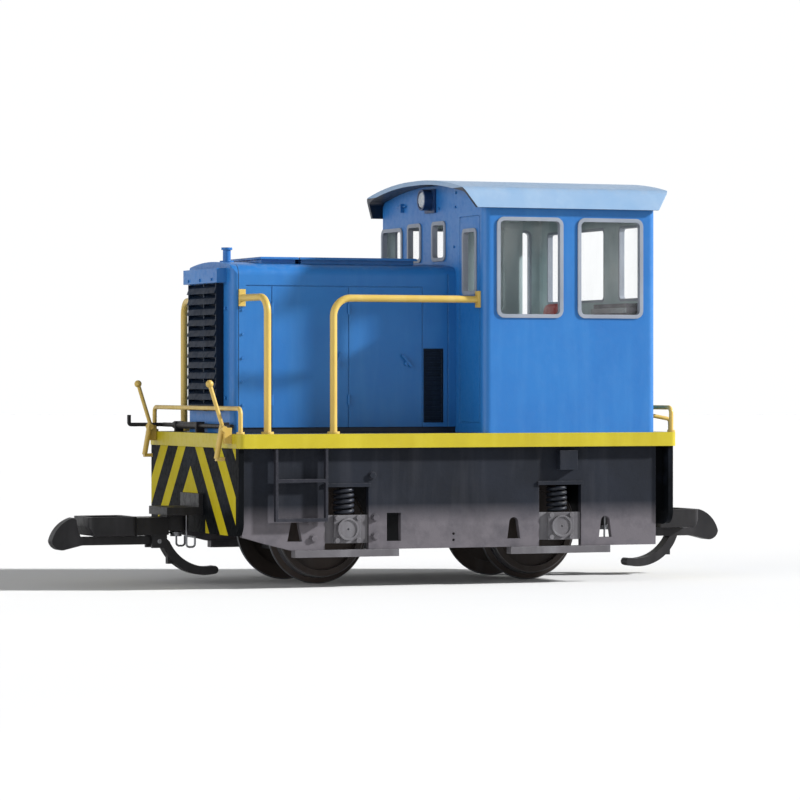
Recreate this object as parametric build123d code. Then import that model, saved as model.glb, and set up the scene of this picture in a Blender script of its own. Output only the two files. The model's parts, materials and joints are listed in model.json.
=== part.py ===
from build123d import *
import math
import os

# Large-scale model of a small two-axle industrial diesel locomotive.
# Millimetres. +X points to the hood end, +Y to the locomotive's left, +Z up.
# The origin is under the middle of the length over couplers, at the flange bottoms.

# ---- running gear ------------------------------------------------------------
AXLE_Z = 24.0
FRONT_AXLE_X = 46.0
REAR_AXLE_X = -57.5
AXLE_XS = (FRONT_AXLE_X, REAR_AXLE_X)
TREAD_R = 21.0
FLANGE_R = 24.0
BACK_TO_BACK = 40.8
FLANGE_WIDTH = 2.4
WHEEL_WIDTH = 7.2
AXLE_R = 2.0
AXLE_HALF = BACK_TO_BACK / 2 + WHEEL_WIDTH
RUNNING_GAP = 0.08

# ---- worm drive --------------------------------------------------------------
GEAR_MODULE = 0.8
GEAR_TEETH = 20
GEAR_PITCH_R = GEAR_MODULE * GEAR_TEETH / 2
WORM_PITCH_R = 4.0
SHAFT_Z = AXLE_Z + GEAR_PITCH_R + WORM_PITCH_R
SHAFT_R = 1.2
WORM_LENGTH = 14.0
WORM_PHASE = 180.0
MOTOR_X = (-26.0, 14.0)
MOTOR_R = 10.5
GEARBOX_X = (REAR_AXLE_X - 14.0, FRONT_AXLE_X + 14.0)
GEARBOX_HALF = 14.0
GEARBOX_SCREWS = [(x, y) for x in (-68.0, -30.0, 18.0, 56.5) for y in (-8.5, 8.5)]

# ---- deck and frame ----------------------------------------------------------
DECK_FRONT = 98.25
DECK_REAR = -114.3
DECK_HALF = 62.9
DECK_TOP = 68.2
DECK_BOTTOM = 61.9
DECK_SKIN = 2.2
DECK_CORNER_R = 3.0
FRAME_Y = 58.5
FRAME_THICK = 3.0
FRAME_BOTTOM = 16.9
FRAME_FRONT = 95.0
FRAME_REAR = -105.4
PILOT_HALF = 61.4
PILOT_THICK = 2.4
PILOT_FRONT = 97.6
PILOT_BOTTOM = 23.4
REAR_PILOT_BACK = -112.8
REAR_PILOT_BOTTOM = 26.0
AXLEBOX_Z = 26.0

# ---- hood --------------------------------------------------------------------
HOOD_HALF = 30.5
HOOD_WALL = 1.8
HOOD_CROWN = 145.3
HOOD_CROWN_DROP = 1.6
HOOD_CORNER_R = 5.0
HOOD_SEAM_X = 86.8
NOSE_X = 90.0
LOUVER_HALF = 19.5
LOUVER_FRONT = 93.6
LOUVER_Z = (78.0, 135.3)
LOUVER_COUNT = 12
SHROUD_HALF = 23.4
SHROUD_FRONT = 94.6
SHROUD_Z = (135.5, 142.0)
STACK_X = 81.7

# ---- cab ---------------------------------------------------------------------
CAB_FRONT = -18.1
CAB_REAR = -103.4
CAB_HALF = 62.9
CAB_WALL = 2.0
CAB_CORNER_R = 3.5
ROOF_CROWN = 183.7
ROOF_KNUCKLE = (59.6, 178.4)
ROOF_KNUCKLE_R = 6.0
ROOF_EAVE = (65.4, 169.2)
ROOF_THICK = 2.0
ROOF_FRONT = -9.4
ROOF_REAR = -111.2
FRONT_EAVE_CUT = 4.8
REAR_EAVE_CUT = 7.6
WINDOW_Z = (119.9, 165.2)
SIDE_WINDOWS_X = ((-56.9, -24.3), (-96.7, -64.1))
GASKET = 1.7
# Each end window: its span across the cab, its span in height, its corner radius.
FRONT_WINDOWS = (
    ((-61.0, -34.4), (134.0, 163.8), 3.0),
    ((-28.0, -11.0), (146.6, 165.0), 2.6),
    ((1.9, 18.4), (146.6, 165.0), 2.6),
    ((38.6, 54.9), (130.4, 160.4), 2.6),
)
REAR_WINDOWS = (
    ((-54.9, -38.6), (128.0, 163.8), 2.6),
    ((-24.4, 12.0), (128.0, 163.8), 3.0),
    ((26.3, 57.0), (128.0, 163.8), 3.0),
)
HEADLIGHT_Z = 175.2

# ---- rails, levers and ladders -------------------------------------------------
RAIL_Y = 57.4
RAIL_R = 1.6
RAIL_TOP = 128.2
END_RAIL_TOP = 79.4
END_RAIL_R = 1.0
LADDER_X = (56.8, 80.2)
LADDER_Y = (59.9, 62.5)

# ---- couplers ----------------------------------------------------------------
COUPLER_TIP = 165.0
LOOP_TOP = 31.0
LOOP_HEIGHT = 8.5
LOOP_HALF = 13.0
LOOP_WALL = 2.4
LOOP_X = (128.0, 150.5)
SWING_X = 106.0
SWING_POST_R = 2.0
HOOK_PIVOT = (115.5, 19.6)
HOOK_PIN_R = 1.0
HOOK_HALF = 3.2
REAR_TAIL_SHIFT = 30.0


def box(x, y, z):
    """A block between two values on each axis."""
    size = [abs(span[1] - span[0]) for span in (x, y, z)]
    centre = [(span[1] + span[0]) / 2 for span in (x, y, z)]
    return Pos(*centre) * Box(*size)


def rod_x(radius, x, y, z):
    return Pos((x[0] + x[1]) / 2, y, z) * Rot(0, 90, 0) * Cylinder(radius, x[1] - x[0])


def rod_y(radius, x, y, z):
    return Pos(x, (y[0] + y[1]) / 2, z) * Rot(90, 0, 0) * Cylinder(radius, y[1] - y[0])


def rod_z(radius, x, y, z):
    return Pos(x, y, (z[0] + z[1]) / 2) * Cylinder(radius, z[1] - z[0])


def along_x(sketch, x):
    """A sketch drawn in Y and Z, made solid between two X values."""
    return extrude(Plane.YZ.offset(x[0]) * sketch, x[1] - x[0], dir=(1, 0, 0))


def along_y(sketch, y):
    """A sketch drawn in X and Z, made solid between two Y values."""
    return extrude(Plane.XZ.offset(-y[1]) * sketch, y[1] - y[0], dir=(0, -1, 0))


def plate_xy(points, z):
    """A flat plate with an outline in X and Y, between two Z values."""
    face = Plane.XY.offset(z[0]) * Polygon(*points, align=None)
    return extrude(face, z[1] - z[0], dir=(0, 0, 1))


def plate_xz(points, y):
    """A flat plate with an outline in X and Z, between two Y values."""
    return along_y(Polygon(*points, align=None), y)


def window_y(x, z, radius, y):
    """A round-cornered block through a side wall."""
    shape = RectangleRounded(x[1] - x[0], z[1] - z[0], radius)
    return along_y(Pos((x[0] + x[1]) / 2, (z[0] + z[1]) / 2) * shape, y)


def window_x(y, z, radius, x):
    """A round-cornered block through a front or rear wall."""
    shape = RectangleRounded(y[1] - y[0], z[1] - z[0], radius)
    return along_x(Pos((y[0] + y[1]) / 2, (z[0] + z[1]) / 2) * shape, x)


def bent_tube(points, bend, radius):
    """A round bar along straight runs joined by bends."""
    path = FilletPolyline(*points, radius=bend) if len(points) > 2 else Polyline(*points)
    section = Plane(path @ 0, z_dir=path % 0) * Circle(radius)
    return sweep(section, path=path)


def both_sides(part):
    """The part and its mirror image on the other side of the centreline."""
    return [part, mirror(part, Plane.XZ)]


def both_ends(part):
    return [part, mirror(part, Plane.YZ)]


def inset(span, amount):
    return (span[0] + amount, span[1] - amount)


def save(node, *parts):
    """Write one node, a single solid or a group of separate solids."""
    solids = [solid for part in parts for solid in part.solids()]
    shape = solids[0] if len(solids) == 1 else Compound(solids)
    shape.label = node
    export_step(shape, "parts/" + node + ".step")


# ---- wheelsets -----------------------------------------------------------------
def wheel(axle_x):
    """A flanged wheel on the left side, turned from one profile."""
    inner = BACK_TO_BACK / 2
    outer = inner + WHEEL_WIDTH
    hub_r = 5.5
    rim_inner_r = TREAD_R - 3.4
    web = (inner + 2.2, inner + 4.6)
    profile = [
        (AXLE_R, inner),
        (hub_r, inner),
        (hub_r, web[0]),
        (rim_inner_r, web[0]),
        (rim_inner_r, inner),
        (FLANGE_R - 0.5, inner),
        (FLANGE_R, inner + 0.7),
        (FLANGE_R - 0.5, inner + 1.5),
        (TREAD_R + 0.3, inner + FLANGE_WIDTH),
        (TREAD_R - 0.3, outer - 0.4),
        (TREAD_R - 0.8, outer),
        (rim_inner_r, outer),
        (rim_inner_r, web[1]),
        (hub_r, web[1]),
        (hub_r, outer - 0.5),
        (AXLE_R, outer - 0.5),
    ]
    face = Plane.XY * Polygon(*profile, align=None)
    turned = revolve(face, Axis.Y)
    return Pos(axle_x, 0, AXLE_Z) * turned


def axle(axle_x):
    """A steel axle whose ends stay flush with the wheel hubs."""
    return rod_y(AXLE_R, axle_x, (0.5 - AXLE_HALF, AXLE_HALF - 0.5), AXLE_Z)


def axle_gear(axle_x):
    """A spur-cut worm wheel with a wide hub, bored for its axle."""
    half_width = 3.0
    tooth_top = GEAR_PITCH_R + GEAR_MODULE
    tooth_root = GEAR_PITCH_R - 1.25 * GEAR_MODULE
    pitch = 2 * math.pi / GEAR_TEETH
    points = []
    for tooth in range(GEAR_TEETH):
        middle = tooth * pitch
        for radius, share in (
            (tooth_root, -0.36),
            (tooth_top, -0.12),
            (tooth_top, 0.12),
            (tooth_root, 0.36),
        ):
            angle = middle + share * pitch
            points.append((radius * math.sin(angle), radius * math.cos(angle)))
    toothed = plate_xz(points, (-half_width, half_width))
    hub = rod_y(4.2, 0, (-11.0, 11.0), 0)
    gear = toothed + hub - rod_y(AXLE_R, 0, (-12.0, 12.0), 0)
    return Pos(axle_x, 0, AXLE_Z) * gear


def traction_tyre(axle_x):
    """The rubber band let into one wheel's tread."""
    y = (BACK_TO_BACK / 2 + 3.4, BACK_TO_BACK / 2 + 5.8)
    ring = rod_y(TREAD_R - 0.1, axle_x, y, AXLE_Z) - rod_y(TREAD_R - 0.9, axle_x, y, AXLE_Z)
    return ring


def worm(axle_x):
    """A cylindrical worm whose thread spaces line up with the teeth below it."""
    lead = math.pi * GEAR_MODULE
    core_r = WORM_PITCH_R - 1.25 * GEAR_MODULE - 0.05
    tip_r = WORM_PITCH_R + 0.8 * GEAR_MODULE
    core = Cylinder(core_r, WORM_LENGTH)
    turns = int(WORM_LENGTH / lead) - 1
    height = turns * lead
    helix = Helix(lead, height, core_r)
    foot = 0.26 * lead
    crest = 0.12 * lead
    rise = tip_r - core_r
    section = Polygon((-0.2, -foot), (rise, -crest), (rise, crest), (-0.2, foot), align=None)
    start = Plane(helix @ 0, x_dir=(1, 0, 0), z_dir=helix % 0)
    thread = sweep(start * section, path=helix, is_frenet=True)
    screw = core + Pos(0, 0, -height / 2) * thread - Cylinder(SHAFT_R, WORM_LENGTH + 2)
    # The thread starts on +X; turned so that a space faces the gear below.
    return Pos(axle_x, 0, SHAFT_Z) * Rot(0, 90, 0) * Rot(0, 0, WORM_PHASE) * screw


# ---- gearbox and motor -----------------------------------------------------------
def gearbox_housing():
    """The upper half of the drive unit: a trough over axles, worms and motor."""
    x = GEARBOX_X
    outer = box(x, (-GEARBOX_HALF, GEARBOX_HALF), (18.2, 50.0))
    cavity = box((x[0] + 2.0, x[1] - 2.0), (-11.6, 11.6), (17.0, 48.0))
    body = outer - cavity
    for axle_x in AXLE_XS:
        body -= rod_y(4.0, axle_x, (-20.0, 20.0), AXLE_Z)
        body -= box((axle_x - 4.0, axle_x + 4.0), (-20.0, 20.0), (17.0, AXLE_Z))
    for lug_x in (x[0] + 6.0, x[1] - 6.0):
        body += box((lug_x - 4.0, lug_x + 4.0), (-18.0, 18.0), (50.0, 53.0))
        for y in (-14.5, 14.5):
            body += rod_z(3.2, lug_x, y, (53.0, DECK_TOP - DECK_SKIN))
    return body


def gearbox_cover():
    """The flat bottom cover under the gearbox, with saddles for the bushes."""
    x = GEARBOX_X
    cover = box(x, (-GEARBOX_HALF, GEARBOX_HALF), (15.0, 18.0))
    for axle_x in AXLE_XS:
        for y in ((-13.9, -11.7), (11.7, 13.9)):
            cover += box((axle_x - 3.9, axle_x + 3.9), y, (18.0, 23.0))
        cover -= rod_y(4.0, axle_x, (-20.0, 20.0), AXLE_Z)
        cover -= rod_y(GEAR_PITCH_R + 1.6, axle_x, (-4.0, 4.0), AXLE_Z)
    for screw_x, screw_y in GEARBOX_SCREWS:
        cover -= rod_z(1.3, screw_x, screw_y, (14.0, 19.0))
        cover -= rod_z(2.4, screw_x, screw_y, (14.0, 16.3))
    return cover


def gearbox_screw(x, y):
    head = rod_z(2.2, x, y, (15.1, 16.3))
    slot = box((x - 2.5, x + 2.5), (y - 0.25, y + 0.25), (15.0, 15.7))
    return head - slot + rod_z(1.2, x, y, (16.3, 22.0))


def axle_bush(axle_x, side):
    """A bronze bearing bush in the gearbox wall."""
    y = (side * 11.7, side * 15.0)
    y = (min(y), max(y))
    return rod_y(3.9, axle_x, y, AXLE_Z) - rod_y(AXLE_R + RUNNING_GAP, axle_x, y, AXLE_Z)


def motor_can():
    """A five-pole can motor with flats, a bearing boss at each end and a through bore."""
    can = rod_x(MOTOR_R, MOTOR_X, 0, SHAFT_Z)
    flats = box(MOTOR_X, (-MOTOR_R, MOTOR_R), (SHAFT_Z - 8.6, SHAFT_Z + 8.6))
    bosses = rod_x(4.0, (MOTOR_X[0] - 2.0, MOTOR_X[1] + 2.0), 0, SHAFT_Z)
    bore = rod_x(SHAFT_R + RUNNING_GAP, (MOTOR_X[0] - 3.0, MOTOR_X[1] + 3.0), 0, SHAFT_Z)
    return (can & flats) + bosses - bore


def motor_shaft():
    x = (REAR_AXLE_X - 10.0, FRONT_AXLE_X + 10.0)
    return rod_x(SHAFT_R, x, 0, SHAFT_Z)


def shaft_bearing(axle_x, side):
    """The block that carries the worm shaft beyond each worm."""
    outer_x = axle_x + side * 11.6
    x = (min(axle_x + side * 8.0, outer_x), max(axle_x + side * 8.0, outer_x))
    block = box(x, (-11.7, 11.7), (SHAFT_Z - 2.4, 48.1))
    return block - rod_x(SHAFT_R + RUNNING_GAP, (x[0] - 1, x[1] + 1), 0, SHAFT_Z)


def wheel_pickup(axle_x):
    """A sprung wiper that presses on the back of a wheel."""
    y = (14.1, 14.5)
    base = box((axle_x - 3.0, axle_x + 3.0), y, (30.0, 46.0))
    arm = plate_xz(
        [(axle_x + 2.0, 38.0), (axle_x + 16.0, 33.0), (axle_x + 16.0, 30.5), (axle_x - 1.0, 36.0)], y
    )
    finger = box((axle_x + 14.0, axle_x + 16.0), (14.1, BACK_TO_BACK / 2 - 0.4), (30.6, 33.0))
    return base + arm + finger


# ---- frame -----------------------------------------------------------------------
def spring_pocket(axle_x):
    """Cut-out in the side plate for the spring and the axlebox."""
    return (axle_x - 10.4, axle_x + 10.4)


def side_frame():
    """The left side plate with its pockets, slots and screw holes."""
    y = (FRAME_Y - FRAME_THICK, FRAME_Y)
    outline = [
        (FRAME_FRONT, 23.0),
        (83.9, 19.8),
        (72.3, FRAME_BOTTOM),
        (FRAME_REAR, FRAME_BOTTOM),
        (FRAME_REAR, DECK_TOP - DECK_SKIN),
        (FRAME_FRONT, DECK_TOP - DECK_SKIN),
    ]
    plate = plate_xz(outline, y)
    through = (y[0] - 1, y[1] + 1)
    for axle_x in AXLE_XS:
        plate -= box(spring_pocket(axle_x), through, (FRAME_BOTTOM - 1, 44.6))
        plate += box(inset(spring_pocket(axle_x), -0.8), (y[1], y[1] + 0.8), (44.6, 46.2))
    plate -= plate_xz([(67.0, 20.8), (74.0, 20.8), (72.2, 29.2), (68.6, 29.2)], through)
    plate -= box((20.2, 26.9), through, (20.4, 32.9))
    for slot_x in (-34.6, -80.0):
        plate -= plate_xz(
            [(slot_x - 3.2, 20.6), (slot_x + 3.2, 20.6), (slot_x + 2.2, 28.0), (slot_x - 2.2, 28.0)],
            through,
        )
        plate -= rod_y(2.2, slot_x, through, 28.0)
    for hole_z in (20.4, 23.2):
        plate -= rod_y(0.6, -5.2, through, hole_z)
    for axle_x in AXLE_XS:
        plate += box((axle_x - 6.0, axle_x + 6.0), (49.6, y[0]), (44.6, 46.6))
    return plate


def end_pilot(front, back, bottom, stay_x):
    """A full-width end plate with rounded lower corners and two stays."""
    corner = 6.0
    x = (min(front, back), max(front, back))
    height = DECK_BOTTOM - bottom
    plate = box(x, (-PILOT_HALF, PILOT_HALF), (bottom, DECK_BOTTOM))
    lower_edges = [
        edge
        for edge in plate.edges().filter_by(Axis.X)
        if edge.center().Z < bottom + height / 2
    ]
    plate = fillet(lower_edges, corner)
    stay = (min(stay_x, back), max(stay_x, back))
    for side in (-1, 1):
        y = (side * 51.0, side * 55.3)
        plate += box(stay, (min(y), max(y)), (bottom + 6.0, DECK_BOTTOM - 1.0))
    return plate


def axlebox(axle_x):
    """An axlebox body between the horns, with four corner bosses."""
    half = 6.2
    body = box(
        (axle_x - half, axle_x + half), (51.0, FRAME_Y + 1.0), (AXLEBOX_Z - half, AXLEBOX_Z + half)
    )
    for dx in (-1, 1):
        body += box(
            (min(axle_x + dx * half, axle_x + dx * 10.2), max(axle_x + dx * half, axle_x + dx * 10.2)),
            (52.0, FRAME_Y - 0.6),
            (AXLEBOX_Z - half, AXLEBOX_Z + half),
        )
        for dz in (-1, 1):
            body += rod_y(
                1.1, axle_x + dx * (half - 1.2), (FRAME_Y, FRAME_Y + 2.0), AXLEBOX_Z + dz * (half - 1.2)
            )
    return body


def axlebox_cover(axle_x):
    """The round cover on an axlebox, with a raised rim and a centre dimple."""
    y = FRAME_Y + 1.0
    cover = rod_y(4.9, axle_x, (y, y + 1.4), AXLEBOX_Z)
    cover -= rod_y(4.1, axle_x, (y + 1.0, y + 2.0), AXLEBOX_Z)
    cover -= rod_y(0.5, axle_x, (y + 0.6, y + 2.0), AXLEBOX_Z)
    return cover


def suspension_spring(axle_x):
    """A coil spring standing on the axlebox, shown by its closed rings."""
    coil_r = 3.9
    wire_r = 0.85
    bottom = AXLEBOX_Z + 6.2 + wire_r
    top = 44.6 - wire_r - 0.1
    height = top - bottom
    turns = 4.5
    helix = Helix(height / turns, height, coil_r)
    start = Plane(helix @ 0, z_dir=helix % 0)
    coil = sweep(start * Circle(wire_r), path=helix, is_frenet=True)
    return Pos(axle_x, 54.6, bottom) * coil


def keeper_bar(axle_x):
    """The bar under the horns that keeps the axlebox in."""
    bar = box((axle_x - 24.6, axle_x + 24.6), (54.4, FRAME_Y + 1.0), (13.7, FRAME_BOTTOM))
    for dx in (-22.0, -13.0, 13.0, 22.0):
        bar -= rod_z(0.9, axle_x + dx, 56.8, (13.0, 15.0))
    return bar


def frame_bolt(x, z):
    """A hexagon bolt head on the side plate."""
    head = along_y(Pos(x, z) * RegularPolygon(1.5, 6), (FRAME_Y, FRAME_Y + 1.2))
    washer = rod_y(1.9, x, (FRAME_Y, FRAME_Y + 0.3), z)
    return head + washer


# ---- deck and body -----------------------------------------------------------------
def deck():
    """An inverted tray: a thin top with a deep edge all round."""
    x = (DECK_REAR, DECK_FRONT)
    slab = box(x, (-DECK_HALF, DECK_HALF), (DECK_BOTTOM, DECK_TOP))
    slab = fillet(slab.edges().filter_by(Axis.Z), DECK_CORNER_R)
    hollow = box(inset(x, 2.0), (2.0 - DECK_HALF, DECK_HALF - 2.0), (0, DECK_TOP - DECK_SKIN))
    return slab - hollow


def hood_profile(shrink):
    """The hood's outline across the track, with rounded shoulders and a crown."""
    half = HOOD_HALF - shrink
    radius = HOOD_CORNER_R - shrink
    crown = HOOD_CROWN - shrink
    shoulder = crown - HOOD_CROWN_DROP
    top_half = half - radius
    edge = [
        Line((-half, DECK_TOP), (-half, shoulder - radius)),
        ThreePointArc(
            (-half, shoulder - radius),
            (-half + radius * (1 - math.sqrt(0.5)), shoulder - radius * (1 - math.sqrt(0.5))),
            (-top_half, shoulder),
        ),
        ThreePointArc((-top_half, shoulder), (0, crown), (top_half, shoulder)),
        ThreePointArc(
            (top_half, shoulder),
            (half - radius * (1 - math.sqrt(0.5)), shoulder - radius * (1 - math.sqrt(0.5))),
            (half, shoulder - radius),
        ),
        Line((half, shoulder - radius), (half, DECK_TOP)),
        Line((half, DECK_TOP), (-half, DECK_TOP)),
    ]
    return make_face(edge)


def groove_y(points, depth=0.35, width=0.45):
    """A thin cutter along straight runs on the hood's left side."""
    cutter = None
    for start, end in zip(points, points[1:]):
        x = (min(start[0], end[0]) - width / 2, max(start[0], end[0]) + width / 2)
        z = (min(start[1], end[1]) - width / 2, max(start[1], end[1]) + width / 2)
        piece = box(x, (HOOD_HALF - depth, HOOD_HALF + 1), z)
        cutter = piece if cutter is None else cutter + piece
    return cutter


def hood_shell():
    """The hood from the cab to the radiator seam, with engraved door seams."""
    length = (CAB_FRONT, HOOD_SEAM_X)
    outer = along_x(hood_profile(0), length)
    inner = along_x(hood_profile(HOOD_WALL), length)
    shell = outer - inner
    base = box((CAB_FRONT - 1, HOOD_SEAM_X + 1), (HOOD_HALF - 0.5, HOOD_HALF + 1), (0, DECK_TOP + 2.4))
    door_bottom = DECK_TOP + 2.6
    door_top = 134.1
    seams = groove_y([(34.3, door_bottom), (34.3, door_top)])
    seams += groove_y([(-1.5, door_bottom), (-1.5, door_top)])
    seams += groove_y([(71.1, door_bottom), (71.1, door_top)])
    seams += groove_y([(-1.5, door_top), (83.0, door_top)])
    seams += groove_y([(-14.1, door_bottom), (-14.1, 140.0)])
    grille = box((-11.9, -2.1), (HOOD_HALF - 1.0, HOOD_HALF + 1), (72.6, 106.3))
    for cutter in (base, seams, grille):
        for side in both_sides(cutter):
            shell -= side
    shell -= rod_z(1.9, STACK_X, 0, (130.0, 150.0))
    return shell


def hood_rivets():
    """Round-headed rivets behind the radiator seam, and the door hinges."""
    solids = []
    for z in (80.8, 91.1, 101.7, 112.4, 123.2):
        solids.append(rod_y(0.55, 84.9, (HOOD_HALF, HOOD_HALF + 0.45), z))
    for x in (34.3, 71.1):
        for z in (83.0, 124.0):
            solids.append(rod_z(0.55, x, HOOD_HALF + 0.6, (z - 2.4, z + 2.4)))
    return solids


def cab_front_bracket():
    """The small angle bracket high on the cab front."""
    x = (CAB_FRONT, CAB_FRONT + 0.9)
    arm = box(x, (-41.0, -29.8), (173.3, 173.9))
    leg = box((CAB_FRONT, CAB_FRONT + 1.8), (-33.6, -33.0), (170.8, 175.0))
    return arm + leg


def cab_rivets():
    """Round-headed rivets on the near half of the cab front."""
    places = ((30.5, 177.3), (29.9, 170.8), (6.4 + 4.0, 170.8), (28.3, 152.7))
    return [rod_x(0.6, (CAB_FRONT, CAB_FRONT + 0.5), y, z) for y, z in places]


def radiator_bolts():
    """Bolt heads on the radiator front beside the louvers."""
    spans = [(NOSE_X, NOSE_X + 0.9)]
    return [rod_x(0.8, span, side * 23.0, z) for span in spans for side in (-1, 1) for z in (84.0, 124.0)]


def door_handle(x, z, lean):
    """A short lever handle that leans back over its door."""
    grip = Pos(x, HOOD_HALF + 1.3, z) * Rot(0, lean, 0) * Box(1.1, 0.9, 7.0)
    boss = rod_y(0.9, x, (HOOD_HALF, HOOD_HALF + 1.3), z - 1.2)
    return grip + boss


def hood_grille():
    """A fine-slatted panel in the hood side near the cab."""
    x = inset((-11.9, -2.1), 0.15)
    z = inset((72.6, 106.3), 0.15)
    panel = box(x, (HOOD_HALF - 1.0, HOOD_HALF - 0.5), z)
    frame = box(x, (HOOD_HALF - 0.6, HOOD_HALF + 0.1), z)
    frame -= box(inset(x, 0.8), (HOOD_HALF - 2, HOOD_HALF + 1), inset(z, 0.8))
    grille = panel + frame
    slat_count = 14
    pitch = (z[1] - z[0] - 2.0) / slat_count
    for index in range(slat_count):
        centre = z[0] + 1.0 + pitch * (index + 0.5)
        grille += box(inset(x, 0.7), (HOOD_HALF - 0.6, HOOD_HALF - 0.1), (centre - 0.5, centre + 0.5))
    return grille


def radiator_shell():
    """The radiator end of the hood: front wall, rounded corners and an open back."""
    depth = NOSE_X - HOOD_SEAM_X
    block = along_x(hood_profile(0), (HOOD_SEAM_X, NOSE_X))
    plan = box((HOOD_SEAM_X - 20.0, NOSE_X), (-HOOD_HALF, HOOD_HALF), (DECK_TOP - 1, HOOD_CROWN + 1))
    plan = fillet(plan.edges().filter_by(Axis.Z).group_by(Axis.X)[-1], depth - 0.2)
    block = block & plan
    block -= box((NOSE_X - 1.4, NOSE_X + 1), (-LOUVER_HALF + 0.8, LOUVER_HALF - 0.8), inset(LOUVER_Z, 0.8))
    inner_half = HOOD_HALF - HOOD_WALL
    block -= box((HOOD_SEAM_X - 1, NOSE_X - 1.4), (-inner_half, inner_half), (0, HOOD_CROWN - 6.0))
    return block


def radiator_shroud():
    """The hood over the louvers: a bent sheet with sloping cheeks and three rivets."""
    z = SHROUD_Z
    front = box((SHROUD_FRONT - 0.8, SHROUD_FRONT), (-SHROUD_HALF, SHROUD_HALF), z)
    roof = box((NOSE_X, SHROUD_FRONT), (-SHROUD_HALF, SHROUD_HALF), (z[1] - 0.8, z[1]))
    shroud = front + roof
    for side in (-1, 1):
        y = (side * (SHROUD_HALF - 0.8), side * SHROUD_HALF)
        shroud += box((NOSE_X, SHROUD_FRONT), (min(y), max(y)), z)
    for y in (-16.0, 0.0, 16.0):
        shroud += rod_x(0.7, (SHROUD_FRONT, SHROUD_FRONT + 0.5), y, z[0] + 1.5)
    return shroud


def radiator_louvers():
    """The louver box: a frame, a mid bar and slats that curl out at the lower lip."""
    half = LOUVER_HALF
    z = LOUVER_Z
    back = box((NOSE_X, NOSE_X + 0.6), (-half, half), z)
    frame = back
    for side in (-1, 1):
        y = (side * (half - 1.0), side * half)
        frame += box((NOSE_X, LOUVER_FRONT), (min(y), max(y)), z)
    frame += box((NOSE_X, LOUVER_FRONT - 0.8), (-0.6, 0.6), z)
    pitch = (z[1] - z[0]) / LOUVER_COUNT
    for index in range(LOUVER_COUNT):
        low = z[0] + pitch * index
        profile = [
            (NOSE_X + 0.4, low + 4.4),
            (NOSE_X + 1.6, low + 4.4),
            (LOUVER_FRONT - 0.2, low + 3.0),
            (LOUVER_FRONT + 0.6, low + 1.0),
            (LOUVER_FRONT + 0.9, low + 0.3),
            (LOUVER_FRONT + 0.3, low + 0.3),
            (LOUVER_FRONT - 0.6, low + 2.4),
            (NOSE_X + 1.2, low + 3.7),
            (NOSE_X + 0.4, low + 3.7),
        ]
        frame += plate_xz(profile, (0.4 - half, half - 0.4))
    return frame


def hood_hatch(x):
    """A thin lid on a low curb, following the hood's flat middle."""
    lid = box(x, (-22.0, 22.0), (HOOD_CROWN + 0.9, HOOD_CROWN + 2.0))
    lid = chamfer(lid.faces().sort_by(Axis.Z)[-1].edges(), 0.5)
    curb = box(inset(x, 1.2), (-20.0, 20.0), (HOOD_CROWN - 2.0, HOOD_CROWN + 0.9))
    crown = along_x(hood_profile(0), (CAB_FRONT, HOOD_SEAM_X))
    return lid + (curb - crown)


def exhaust_stack():
    stack = rod_z(1.8, STACK_X, 0, (HOOD_CROWN - 3.0, 152.0))
    stack += rod_z(2.5, STACK_X, 0, (150.9, 152.0))
    stack += rod_z(3.2, STACK_X, 0, (HOOD_CROWN, HOOD_CROWN + 0.7))
    return stack - rod_z(1.3, STACK_X, 0, (144.0, 153.0))


# ---- cab ---------------------------------------------------------------------------
def roof_line(drop):
    """Half of the roof's outline, from the crown down to the eave."""
    knuckle = (ROOF_KNUCKLE[0] - drop * 0.5, ROOF_KNUCKLE[1] - drop)
    eave = (ROOF_EAVE[0] - drop * 1.1, ROOF_EAVE[1])
    return knuckle, eave, ROOF_CROWN - drop


def roof_face(drop, bottom):
    knuckle, eave, crown = roof_line(drop)
    mid_y = knuckle[0] * 0.55
    mid_z = crown - (crown - knuckle[1]) * 0.27
    edge = [
        ThreePointArc((0, crown), (mid_y, mid_z), knuckle),
        Line(knuckle, eave),
        Line(eave, (eave[0], bottom)),
        Line((eave[0], bottom), (-eave[0], bottom)),
        Line((-eave[0], bottom), (-eave[0], eave[1])),
        Line((-eave[0], eave[1]), (-knuckle[0], knuckle[1])),
        ThreePointArc((-knuckle[0], knuckle[1]), (-mid_y, mid_z), (0, crown)),
    ]
    lines = [line for line in edge if line.length > 1e-6]
    return make_face(lines)


def roof_knuckle_edges(block, height):
    """The two long edges where the roof's arc turns down into its eaves."""
    return [edge for edge in block.edges().filter_by(Axis.X) if abs(edge.center().Z - height) < 0.5]


def cab_roof():
    """The roof sheet: a shallow arc that turns down into sloping eaves."""
    outer = along_x(roof_face(0, ROOF_EAVE[1] - 0.01), (ROOF_REAR, ROOF_FRONT))
    outer = fillet(roof_knuckle_edges(outer, ROOF_KNUCKLE[1]), ROOF_KNUCKLE_R)
    inner = along_x(roof_face(ROOF_THICK, 100.0), (ROOF_REAR - 1, ROOF_FRONT + 1))
    inner = fillet(roof_knuckle_edges(inner, ROOF_KNUCKLE[1] - ROOF_THICK), ROOF_KNUCKLE_R - ROOF_THICK)
    roof = outer - inner
    for end, inward, eave_cut in ((ROOF_FRONT, -1, FRONT_EAVE_CUT), (ROOF_REAR, 1, REAR_EAVE_CUT)):
        cut = [
            (end - inward * 3.0, ROOF_KNUCKLE[1]),
            (end, ROOF_KNUCKLE[1]),
            (end + inward * eave_cut, ROOF_EAVE[1] - 0.2),
            (end + inward * eave_cut, 160.0),
            (end - inward * 3.0, 160.0),
        ]
        roof -= plate_xz(cut, (-80.0, 80.0))
    return roof


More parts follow.
